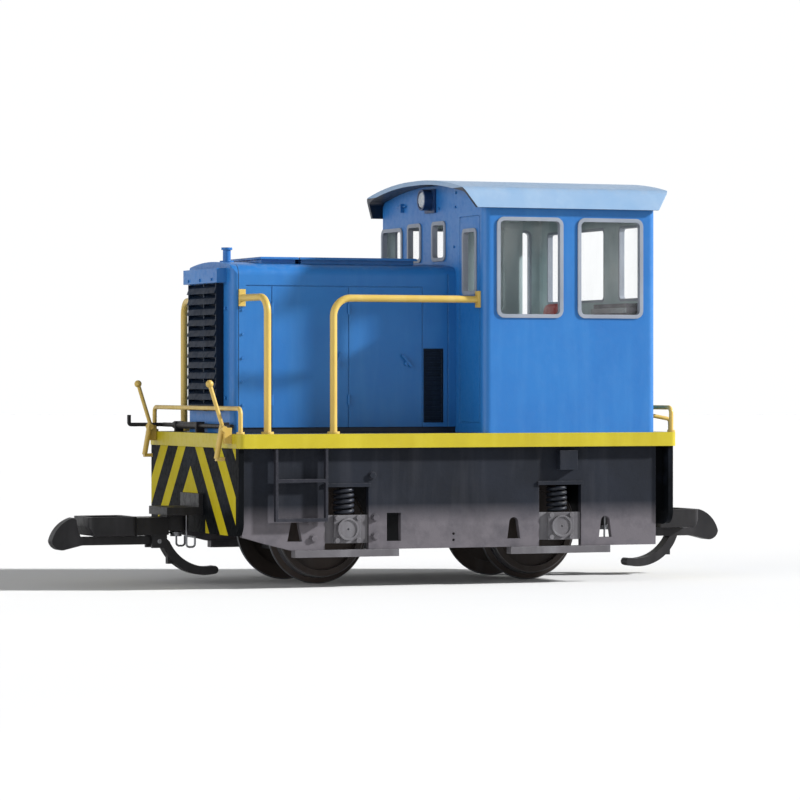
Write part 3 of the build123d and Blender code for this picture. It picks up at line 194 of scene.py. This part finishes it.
class Finish:
    """One node material: its shader, and short calls for the nodes that feed it."""

    def __init__(self, name):
        self.material = bpy.data.materials.new(name)
        self.material.use_nodes = True
        self.tree = self.material.node_tree
        self.shader = self.tree.nodes["Principled BSDF"]
        coordinates = self.tree.nodes.new("ShaderNodeTexCoord")
        self.place = coordinates.outputs["Object"]
        self.facing = coordinates.outputs["Normal"]

    def feed(self, socket, value):
        """Link a socket to another one, or give it a plain value."""
        if isinstance(value, bpy.types.NodeSocket):
            self.tree.links.new(value, socket)
        else:
            socket.default_value = value

    def node(self, kind, inputs=None, **settings):
        made = self.tree.nodes.new(kind)
        for name, value in settings.items():
            setattr(made, name, value)
        for name, value in (inputs or {}).items():
            self.feed(made.inputs[name], value)
        return made

    def set(self, name, value):
        self.feed(self.shader.inputs[name], value)

    def maths(self, operation, first, second=0.0):
        return self.node("ShaderNodeMath", {0: first, 1: second}, operation=operation).outputs[0]

    def scaled(self, value, factor, start):
        """The value times a factor, added to a start."""
        inputs = {0: value, 1: factor, 2: start}
        return self.node("ShaderNodeMath", inputs, operation="MULTIPLY_ADD").outputs[0]

    def both(self, *masks):
        """1 only where every mask is 1."""
        result = masks[0]
        for mask in masks[1:]:
            result = self.maths("MULTIPLY", result, mask)
        return result

    def axis(self, letter, source=None):
        split = self.node("ShaderNodeSeparateXYZ", {0: source or self.place})
        return split.outputs[letter]

    def millimetres(self, letter):
        return self.maths("MULTIPLY", self.axis(letter), 1 / MM)

    def ramp(self, value, low, high):
        """0 below low and 1 above high, or the other way round if low is the larger."""
        inputs = {"Value": value, "From Min": low, "From Max": high}
        return self.node("ShaderNodeMapRange", inputs, clamp=True).outputs["Result"]

    def above(self, value, limit, blur=0.1):
        return self.ramp(value, limit - blur, limit + blur)

    def below(self, value, limit, blur=0.1):
        return self.ramp(value, limit + blur, limit - blur)

    def within(self, value, low, high, blur=0.05):
        return self.both(self.above(value, low, blur), self.below(value, high, blur))

    def noise(self, per_metre, detail=3.0, rough=0.55, stretch=(1.0, 1.0, 1.0)):
        mapped = self.node("ShaderNodeMapping", {"Vector": self.place, "Scale": stretch})
        inputs = {
            "Vector": mapped.outputs[0],
            "Scale": per_metre,
            "Detail": detail,
            "Roughness": rough,
        }
        return self.node("ShaderNodeTexNoise", inputs).outputs["Fac"]

    def patches(self, per_metre, low, high, **kind):
        """Noise stretched from 0 to 1 between two of its levels."""
        return self.ramp(self.noise(per_metre, **kind), low, high)

    def mix(self, share, first, second):
        """A blend of two colours: the node's sockets 0, 6 and 7 are the share and the colours."""
        inputs = {0: share, 6: first, 7: second}
        return self.node("ShaderNodeMix", inputs, data_type="RGBA", clamp_factor=True).outputs[2]

    def rounded(self, radius):
        """The surface's direction with its edges softened."""
        return self.node("ShaderNodeBevel", {"Radius": radius}, samples=4).outputs[0]

    def edges(self, radius):
        """1 along an edge and 0 on a face."""
        flat_agreement = 0.995
        edge_agreement = 0.86
        true = self.node("ShaderNodeNewGeometry").outputs["Normal"]
        inputs = {0: self.rounded(radius), 1: true}
        same = self.node("ShaderNodeVectorMath", inputs, operation="DOT_PRODUCT").outputs["Value"]
        return self.ramp(same, flat_agreement, edge_agreement)

    def bump(self, height, depth, soften):
        inputs = {
            "Height": height,
            "Distance": depth,
            "Strength": 1.0,
            "Normal": self.rounded(soften),
        }
        self.set("Normal", self.node("ShaderNodeBump", inputs).outputs[0])


# ---- finishes ------------------------------------------------------------------------


def weather(finish, tones, gloss, wear=0.35, dust=0.25, grain=0.02 * MM, shine=0.3):
    """Paint or plastic: blotches, streaks, dust on top faces, paler edges and a fine skin."""
    blotch_share = 0.55
    streak_share = 0.22
    edge_width = 0.6 * MM
    softened = 0.25 * MM
    base, deep, pale = tones
    broad = finish.patches(34.0, 0.35, 0.68, detail=4.0)
    fine = finish.patches(420.0, 0.45, 0.75)
    tone = finish.mix(finish.maths("MULTIPLY", broad, blotch_share), base, deep)
    streaks = finish.patches(120.0, 0.5, 0.8, rough=0.6, stretch=(1.0, 1.0, 0.12))
    tone = finish.mix(finish.maths("MULTIPLY", streaks, streak_share), tone, pale)
    up = finish.ramp(finish.axis("Z", finish.facing), 0.55, 0.95)
    settled = finish.maths("MULTIPLY", up, finish.maths("MULTIPLY", fine, dust))
    tone = finish.mix(settled, tone, DUST)
    rub = finish.both(finish.edges(edge_width), finish.patches(700.0, 0.35, 0.7))
    tone = finish.mix(finish.maths("MULTIPLY", rub, wear), tone, pale)
    finish.set("Roughness", finish.scaled(fine, 0.16, gloss))
    finish.set("Specular IOR Level", shine)
    skin = finish.maths("ADD", finish.noise(2600.0, 2.0), finish.maths("MULTIPLY", fine, 0.6))
    finish.bump(skin, grain, softened)
    return tone


def plain_paint(name, tones, gloss, **skin):
    finish = Finish(name)
    finish.set("Base Color", weather(finish, tones, gloss, **skin))
    return finish


def blue_body():
    """Satin blue, with the cab's inside picked out by place and painted shade along the hood's base."""
    finish = Finish("blue_body_paint")
    tone = weather(finish, BLUE_TONES, 0.36)
    across = finish.maths("ABSOLUTE", finish.millimetres("Y"))
    along = finish.millimetres("X")
    height = finish.millimetres("Z")
    inside = finish.both(finish.below(across, LINING_Y), finish.within(along, *LINING_X))
    lining = finish.mix(finish.patches(60.0, 0.3, 0.7), INTERIOR, INTERIOR_DEEP)
    tone = finish.mix(inside, tone, lining)
    # Painted shade: the recess along the hood's base is coloured near black.
    painted_base_shade = finish.both(
        finish.below(height, HOOD_SHADE_TOP),
        finish.above(along, HOOD_SHADE_REAR, 0.05),
        finish.below(along, HOOD_SEAM_X),
    )
    tone = finish.mix(painted_base_shade, tone, BLUE_BLACK)
    seam = finish.within(along, HOOD_SEAM_X - HOOD_SEAM_HALF, HOOD_SEAM_X + HOOD_SEAM_HALF)
    finish.set("Base Color", finish.mix(seam, tone, BLACK))
    return finish


def blue_roof():
    """The roof sheet in a paler blue that is a painted highlight of glare, with painted shade on the
    faces that look down.
    """
    finish = Finish("blue_roof_paint")
    # The paler roof tones are a painted highlight of glare.
    tone = weather(finish, (ROOF_GLARE_BLUE, ROOF_GLARE_DEEP, ROOF_GLARE_PALE), 0.34)
    # Painted shade: faces of the roof that look down are coloured near black.
    under = finish.ramp(finish.axis("Z", finish.facing), -0.1, -0.3)
    finish.set("Base Color", finish.mix(under, tone, BLUE_BLACK))
    return finish


def deck_paint():
    """A yellow edge round a dark, gritty walking surface."""
    finish = Finish("deck_paint")
    tone = weather(finish, YELLOW_TONES, 0.4, wear=0.4, dust=0.15)
    up = finish.ramp(finish.axis("Z", finish.facing), 0.8, 0.95)
    across = finish.maths("ABSOLUTE", finish.millimetres("Y"))
    along = finish.millimetres("X")
    walk = finish.both(up, finish.below(across, DECK_WALK_Y), finish.within(along, *DECK_WALK_X))
    grit = finish.mix(finish.patches(900.0, 0.4, 0.7), CHASSIS, CHASSIS_DUST)
    tone = finish.mix(walk, tone, grit)
    down = finish.ramp(finish.axis("Z", finish.facing), -0.8, -0.95)
    finish.set("Base Color", finish.mix(down, tone, CHASSIS))
    return finish


def hazard_paint():
    """Yellow chevrons on black over each end plate's outer face."""
    finish = Finish("hazard_paint")
    yellow = weather(finish, YELLOW_TONES, 0.5, wear=0.3, dust=0.1, shine=0.03)
    height = finish.millimetres("Z")
    side = finish.millimetres("Y")
    away = finish.maths("ABSOLUTE", finish.maths("SUBTRACT", side, STRIPE_CENTRE_Y))
    down = finish.maths("SUBTRACT", STRIPE_TOP_Z, height)
    measure = finish.maths("SUBTRACT", away, finish.maths("MULTIPLY", down, STRIPE_SLOPE))
    start = finish.maths("SUBTRACT", measure, STRIPE_FIRST)
    phase = finish.maths("FLOORED_MODULO", start, STRIPE_PITCH)
    stripe = finish.both(
        finish.above(phase, STRIPE_EDGE, STRIPE_EDGE),
        finish.below(phase, STRIPE_WIDTH, STRIPE_EDGE),
    )
    peak = finish.below(measure, -STRIPE_FIRST, STRIPE_EDGE)
    stripe = finish.maths("MAXIMUM", stripe, peak)
    gap = finish.both(finish.below(away, COUPLER_GAP_HALF), finish.below(height, COUPLER_GAP_TOP))
    end = finish.maths("SIGN", finish.millimetres("X"))
    outer = finish.maths("MULTIPLY", finish.axis("X", finish.facing), end)
    along = finish.maths("ABSOLUTE", finish.millimetres("X"))
    stripe = finish.both(
        stripe,
        finish.maths("SUBTRACT", 1.0, gap),
        finish.below(side, STRIPE_LEFT_Y),
        finish.above(along, STRIPE_FACE_X),
        finish.ramp(outer, 0.8, 0.9),
    )
    black = finish.mix(finish.patches(60.0, 0.5, 0.8), BLACK, CHASSIS)
    finish.set("Base Color", finish.mix(stripe, black, yellow))
    return finish


def frame_paint():
    """The side plates: dark grey, with a pale band of painted sunlight towards the bottom."""
    finish = Finish("frame_paint")
    tones = (CHASSIS, BLACK, CHASSIS_DUST)
    tone = weather(finish, tones, 0.55, wear=0.5, dust=0.3, grain=0.04 * MM, shine=0.12)
    # Painted sunlight: a pale, blotchy band towards the bottom of the side plates.
    cloud = finish.patches(70.0, 0.32, 0.72, detail=5.0, rough=0.65)
    low = finish.both(finish.ramp(finish.millimetres("Z"), *FRAME_SUNLIT_Z), finish.ramp(cloud, -0.9, 0.6))
    tone = finish.mix(finish.maths("MULTIPLY", low, 0.85), tone, FRAME_SUNLIT)
    finish.set("Base Color", tone)
    return finish


def wheel_paint(name, axle):
    """Dark wheel centres with a bare rolled tread."""
    finish = Finish(name)
    tones = (WHEEL_DARK, BLACK, STEEL_DARK)
    tone = weather(finish, tones, 0.5, wear=0.4, dust=0.2, grain=0.03 * MM, shine=0.15)
    along = finish.maths("SUBTRACT", finish.axis("X"), axle[0])
    height = finish.maths("SUBTRACT", finish.axis("Z"), axle[2])
    squares = [finish.maths("MULTIPLY", distance, distance) for distance in (along, height)]
    root = finish.maths("SQRT", finish.maths("ADD", *squares))
    radius = finish.maths("MULTIPLY", root, 1 / MM)
    flat = finish.maths("ABSOLUTE", finish.axis("Y", finish.facing))
    bare = finish.both(finish.above(radius, WHEEL_TREAD_R, 0.2), finish.ramp(flat, 0.9, 0.6))
    rings = finish.patches(300.0, 0.35, 0.65, detail=2.0, rough=0.5, stretch=(0.1, 9.0, 0.1))
    finish.set("Base Color", finish.mix(bare, tone, finish.mix(rings, STEEL, STEEL_DARK)))
    finish.set("Metallic", bare)
    return finish


def turned_metal(name, base, deep, gloss):
    """Bare metal with fine turning marks and a little tarnish."""
    finish = Finish(name)
    marks = finish.noise(900.0, 2.0, 0.5, (1.0, 1.0, 0.15))
    tone = finish.mix(finish.ramp(marks, 0.35, 0.7), base, deep)
    spots = finish.patches(160.0, 0.55, 0.8, detail=4.0)
    tone = finish.mix(finish.maths("MULTIPLY", spots, 0.5), tone, IRON_DARK)
    finish.set("Base Color", tone)
    finish.set("Metallic", 1.0)
    finish.set("Roughness", finish.scaled(marks, 0.2, gloss))
    finish.bump(marks, 0.02 * MM, 0.2 * MM)
    return finish


def window_glass():
    """Clear styrene with faint smears."""
    finish = Finish("window_clear")
    smear = finish.patches(90.0, 0.45, 0.8, detail=4.0, rough=0.6, stretch=(1.0, 1.0, 0.3))
    finish.set("Base Color", finish.mix(smear, GLASS, WHITE))
    finish.set("Alpha", finish.scaled(smear, 0.04, 0.02))
    finish.set("Roughness", finish.scaled(smear, 0.2, 0.04))
    return finish


def lens_glass():
    """The moulded lamp lens: fluted, milky and glossy."""
    flutes_per_mm = 5.2
    finish = Finish("lamp_lens")
    flutes = finish.maths("SINE", finish.maths("MULTIPLY", finish.millimetres("Y"), flutes_per_mm))
    cloud = finish.patches(500.0, 0.35, 0.7)
    finish.set("Base Color", finish.mix(cloud, LENS_BLUE, WHITE))
    finish.set("Roughness", 0.12)
    finish.set("Coat Weight", 0.4)
    finish.set("Alpha", 0.55)
    finish.bump(finish.maths("ADD", flutes, cloud), 0.06 * MM, 0.1 * MM)
    return finish


def lamp_emitter():
    finish = Finish("lamp_led")
    finish.set("Base Color", finish.mix(finish.patches(900.0, 0.35, 0.7), WHITE, LED_WARM))
    finish.set("Roughness", 0.25)
    return finish


def cab_fittings_paint():
    """The desk and the cabinet in pale green-grey, and the stand behind them dark."""
    finish = Finish("cab_fittings_paint")
    tone = weather(finish, (INTERIOR, INTERIOR_DEEP, WHITE), 0.45)
    stand = finish.both(
        finish.below(finish.millimetres("X"), STAND_FRONT_X, 0.5),
        finish.above(finish.millimetres("Y"), STAND_RIGHT_Y, 0.05),
    )
    grey = finish.mix(finish.patches(120.0, 0.35, 0.7), STAND_GREY, IRON_DARK)
    finish.set("Base Color", finish.mix(stand, tone, grey))
    return finish


def seat_plastic():
    tones = (SEAT_RED, SEAT_DARK, SEAT_PALE)
    return plain_paint("seat_plastic", tones, 0.42, wear=0.4, dust=0.3)


def body_groups():
    """The painted body, deck and rails, each finish with its CAD nodes."""
    louver_tones = (BLUE_BLACK, BLACK, LOUVER_PALE)
    louver = plain_paint("blue_black_paint", louver_tones, 0.4, wear=0.4, dust=0.08, shine=0.06)
    # The headlight housings take painted shade: a dark navy copy of the body blue.
    lamp = plain_paint("lamp_housing_shade_paint", (LAMP_SHADE_BLUE, BLUE_BLACK, BLUE_DEEP), 0.36)
    rail = plain_paint("rail_paint", (RAIL_YELLOW, RAIL_DEEP, RAIL_PALE), 0.34, wear=0.5)
    rubber_tones = (RUBBER_GREY, RUBBER_DEEP, RUBBER_PALE)
    gasket = plain_paint("gasket_rubber", rubber_tones, 0.5, wear=0.3)
    blue_nodes = (
        "body_fittings",
        "cab_shell",
        "exhaust_stack",
        "hood_hatches",
        "hood_shell",
        "radiator_shell",
        "radiator_shroud",
    )
    return (
        (blue_body(), blue_nodes),
        (blue_roof(), ("cab_roof",)),
        (deck_paint(), ("walkway_deck",)),
        (louver, ("hood_grilles", "radiator_louvers")),
        (lamp, ("headlight_housings",)),
        (lamp_emitter(), ("headlight_leds",)),
        (lens_glass(), ("headlight_lenses",)),
        (rail, ("cut_levers", "end_rails", "hood_grab_rails", "walkway_rails")),
        (gasket, ("window_gaskets",)),
        (window_glass(), ("window_panes",)),
        (cab_fittings_paint(), ("control_console", "driver_seat")),
    )


def chassis_groups():
    """The frames, end plates, couplers and springs, each finish with its CAD nodes."""
    dark_tones = (CHASSIS, BLACK, CHASSIS_DUST)
    iron_tones = (IRON, IRON_DARK, STEEL)
    step_tones = (STEP_GREY, CHASSIS, STEP_PALE)
    coupler_tones = (COUPLER, BLACK, COUPLER_PALE)
    iron = plain_paint("axlebox_paint", iron_tones, 0.5, dust=0.4, grain=0.06 * MM)
    spring = plain_paint("spring_paint", dark_tones, 0.42, wear=0.4, dust=0.2, shine=0.2)
    step = plain_paint("step_paint", step_tones, 0.5, wear=0.4, shine=0.15)
    coupler = plain_paint("coupler_plastic", coupler_tones, 0.42, wear=0.5, dust=0.3, shine=0.2)
    coupler_nodes = (
        "coupler_mounts",
        "front_coupler_hook",
        "front_drawbar",
        "rear_coupler_hook",
        "rear_drawbar",
        "uncoupling_rods",
    )
    return (
        (hazard_paint(), ("front_pilot", "rear_pilot")),
        (frame_paint(), ("frame_bolts", "left_side_frame", "right_side_frame", "side_boxes")),
        (iron, ("axlebox_covers", "axleboxes", "keeper_bars")),
        (spring, ("suspension_springs",)),
        (step, ("ladders",)),
        (coupler, coupler_nodes),
    )


def drive_groups():
    """The wheels, drive and electrics, each finish with its CAD nodes."""
    joints = {joint["name"]: joint["pos_m"] for joint in frame["joints"]}
    front_wheel = wheel_paint("front_wheel_finish", joints["front_wheelset_spin"])
    rear_wheel = wheel_paint("rear_wheel_finish", joints["rear_wheelset_spin"])
    steel = turned_metal("bright_steel", STEEL, STEEL_DARK, 0.28)
    bronze = turned_metal("bush_bronze", BRONZE, BRONZE_DEEP, 0.32)
    gear = plain_paint("gear_plastic", (GEAR_WHITE, DUST, WHITE), 0.4, wear=0.2)
    gearbox = plain_paint("gearbox_plastic", GEARBOX_TONES, 0.46)
    tyre = plain_paint("tyre_rubber", (TYRE, BLACK, IRON_DARK), 0.7, wear=0.1)
    board = plain_paint("board_lacquer", (BOARD_GREEN, BLACK, BOARD_PALE), 0.3)
    steel_nodes = (
        "assembly_screws",
        "ballast_weight",
        "centring_springs",
        "front_axle",
        "front_hook_pin",
        "motor",
        "motor_shaft",
        "rear_axle",
        "rear_hook_pin",
    )
    return (
        (front_wheel, ("front_wheels",)),
        (rear_wheel, ("rear_wheels",)),
        (steel, steel_nodes),
        (bronze, ("axle_bushes", "wheel_pickups", "worms")),
        (gear, ("front_axle_gear", "rear_axle_gear")),
        (gearbox, ("cab_floor", "gearbox_cover", "gearbox_housing")),
        (tyre, ("rear_traction_tyre",)),
        (board, ("circuit_board",)),
    )


def paint_nodes():
    for finish, names in (*body_groups(), *chassis_groups(), *drive_groups()):
        for name in names:
            materials = NODES[name].data.materials
            materials.clear()
            materials.append(finish.material)


# ---- new pieces ------------------------------------------------------------------------


def new_piece(name, mesh_data, finish, body="chassis"):
    """A finished mesh as a piece that rides on a body."""
    piece = bpy.data.objects.new(name, mesh_data)
    bpy.context.scene.collection.objects.link(piece)
    piece.data.materials.append(finish.material)
    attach(piece, body)
    return piece


def finished_mesh(name, build):
    mesh = bpy.data.meshes.new(name)
    build.to_mesh(mesh)
    build.free()
    return mesh


def pad_mesh(name, low, high):
    """A crowned pad: a rounded block whose faces swell between its channels."""
    cuts = 23
    roundness = 5.0
    edge_fall = 0.9
    channel_width = 0.07
    channel_depth = 0.16
    size = [high[i] - low[i] for i in range(3)]
    middle = [(high[i] + low[i]) / 2 for i in range(3)]
    thin = min(range(3), key=lambda i: size[i])
    wide = [i for i in range(3) if i != thin]
    build = bmesh.new()
    bmesh.ops.create_cube(build, size=2.0)
    bmesh.ops.subdivide_edges(build, edges=build.edges[:], cuts=cuts, use_grid_fill=True)
    for vertex in build.verts:
        place = vertex.co.copy()
        place /= sum(abs(value) ** roundness for value in place) ** (1 / roundness)
        swell = 1.0
        for i in wide:
            swell *= 1.0 - edge_fall * place[i] ** 4
        channel = 0.0
        for line in SEAT_CHANNELS:
            channel += math.exp(-(((place[wide[0]] - line) / channel_width) ** 2))
        place[thin] *= 1.0 - SEAT_CROWN + SEAT_CROWN * swell - channel_depth * channel * swell
        vertex.co = Vector([middle[i] + place[i] * size[i] / 2 for i in range(3)])
    for face in build.faces:
        face.smooth = True
    return finished_mesh(name, build)


def turned_mesh(name, profile, centre, steps=48):
    """A solid of revolution about an upright axis, from radius and height pairs."""
    build = bmesh.new()
    rings = []
    for radius, height in profile:
        ring = []
        for step in range(steps):
            angle = 2 * math.pi * step / steps
            place = (centre[0] + radius * math.cos(angle), centre[1] + radius * math.sin(angle), height)
            ring.append(build.verts.new(place))
        rings.append(ring)
    for lower, upper in zip(rings, rings[1:]):
        for step in range(steps):
            after = (step + 1) % steps
            build.faces.new((lower[step], lower[after], upper[after], upper[step])).smooth = True
    build.faces.new(list(reversed(rings[0])))
    build.faces.new(rings[-1])
    bmesh.ops.recalc_face_normals(build, faces=build.faces[:])
    return finished_mesh(name, build)


def add_seat():
    """The driver's seat: a moulded base pad and back on a turned pedestal."""
    low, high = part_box("driver_seat")
    red = seat_plastic()
    dark = plain_paint("seat_base_plastic", GEARBOX_TONES, 0.46)
    middle = ((low.x + high.x) / 2, (low.y + high.y) / 2)
    under, top = (low.z + height * MM for height in SEAT_PAD_Z)
    back_low = (low.x, low.y, top + SEAT_GAP * MM)
    back_high = (low.x + SEAT_BACK_THICK * MM, high.y, high.z)
    pad = pad_mesh("seat_pad", (low.x, low.y, under), (high.x, high.y, top))
    cushion = new_piece("seat_pad", pad, red)
    new_piece("seat_back", pad_mesh("seat_back", back_low, back_high), red)
    profile = [(radius * MM, low.z + height * MM) for radius, height in PEDESTAL_FOOT]
    profile += [(radius * MM, under + height * MM) for radius, height in PEDESTAL_CUP]
    pedestal = turned_mesh("seat_pedestal", profile, middle)
    new_piece("seat_pedestal", pedestal, dark)
    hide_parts("driver_seat")


# ---- studio ----------------------------------------------------------------------------


def add_floor():
    """A wide pale floor that reaches the horizon."""
    finish = Finish("studio_floor")
    grain = finish.patches(3.0, 0.3, 0.7)
    finish.set("Base Color", finish.mix(grain, FLOOR_GREY, FLOOR_PALE))
    finish.set("Roughness", 0.9)
    finish.set("Specular IOR Level", 0.1)
    build = bmesh.new()
    bmesh.ops.create_circle(build, cap_ends=True, radius=FLOOR_RADIUS, segments=FLOOR_SEGMENTS)
    mesh = finished_mesh("studio_floor", build)
    floor = bpy.data.objects.new("studio_floor", mesh)
    floor.location.z = CAD_BOUNDS[0][2] - FLOOR_DROP
    bpy.context.scene.collection.objects.link(floor)
    mesh.materials.append(finish.material)


def add_sun(name, direction, strength, angle):
    data = bpy.data.lights.new(name, "SUN")
    data.energy = strength
    data.angle = angle
    lamp = bpy.data.objects.new(name, data)
    lamp.rotation_euler = Vector(direction).to_track_quat("-Z", "Y").to_euler()
    bpy.context.scene.collection.objects.link(lamp)


def add_sky():
    """A pale dome that is whitest near the horizon."""
    world = bpy.data.worlds.new("studio")
    bpy.context.scene.world = world
    world.use_nodes = True
    tree = world.node_tree
    back = tree.nodes["Background"]
    place = tree.nodes.new("ShaderNodeTexCoord")
    split = tree.nodes.new("ShaderNodeSeparateXYZ")
    span = tree.nodes.new("ShaderNodeMapRange")
    tree.links.new(place.outputs["Generated"], split.inputs[0])
    tree.links.new(split.outputs["Z"], span.inputs["Value"])
    span.inputs["From Min"].default_value = SKY_FADE[0]
    span.inputs["From Max"].default_value = SKY_FADE[1]
    span.inputs["To Min"].default_value = SKY_STRENGTH[0]
    span.inputs["To Max"].default_value = SKY_STRENGTH[1]
    tree.links.new(span.outputs["Result"], back.inputs["Strength"])
    back.inputs["Color"].default_value = SKY_COLOUR


def add_camera():
    lens = bpy.data.cameras.new("camera")
    lens.lens = LENS
    lens.sensor_width = SENSOR
    camera = bpy.data.objects.new("camera", lens)
    camera.location = CAMERA_PLACE
    level = math.cos(CAMERA_TILT)
    ahead = (-math.sin(CAMERA_TURN) * level, -math.cos(CAMERA_TURN) * level, -math.sin(CAMERA_TILT))
    camera.rotation_euler = Vector(ahead).to_track_quat("-Z", "Y").to_euler()
    bpy.context.scene.collection.objects.link(camera)
    bpy.context.scene.camera = camera


paint_nodes()
add_seat()
add_floor()
add_sun("key", SUN_DIRECTION, SUN_STRENGTH, SUN_ANGLE)
add_sun("fill", FILL_DIRECTION, FILL_STRENGTH, FILL_ANGLE)
add_sky()
add_camera()
bpy.context.scene.view_settings.view_transform = "Standard"
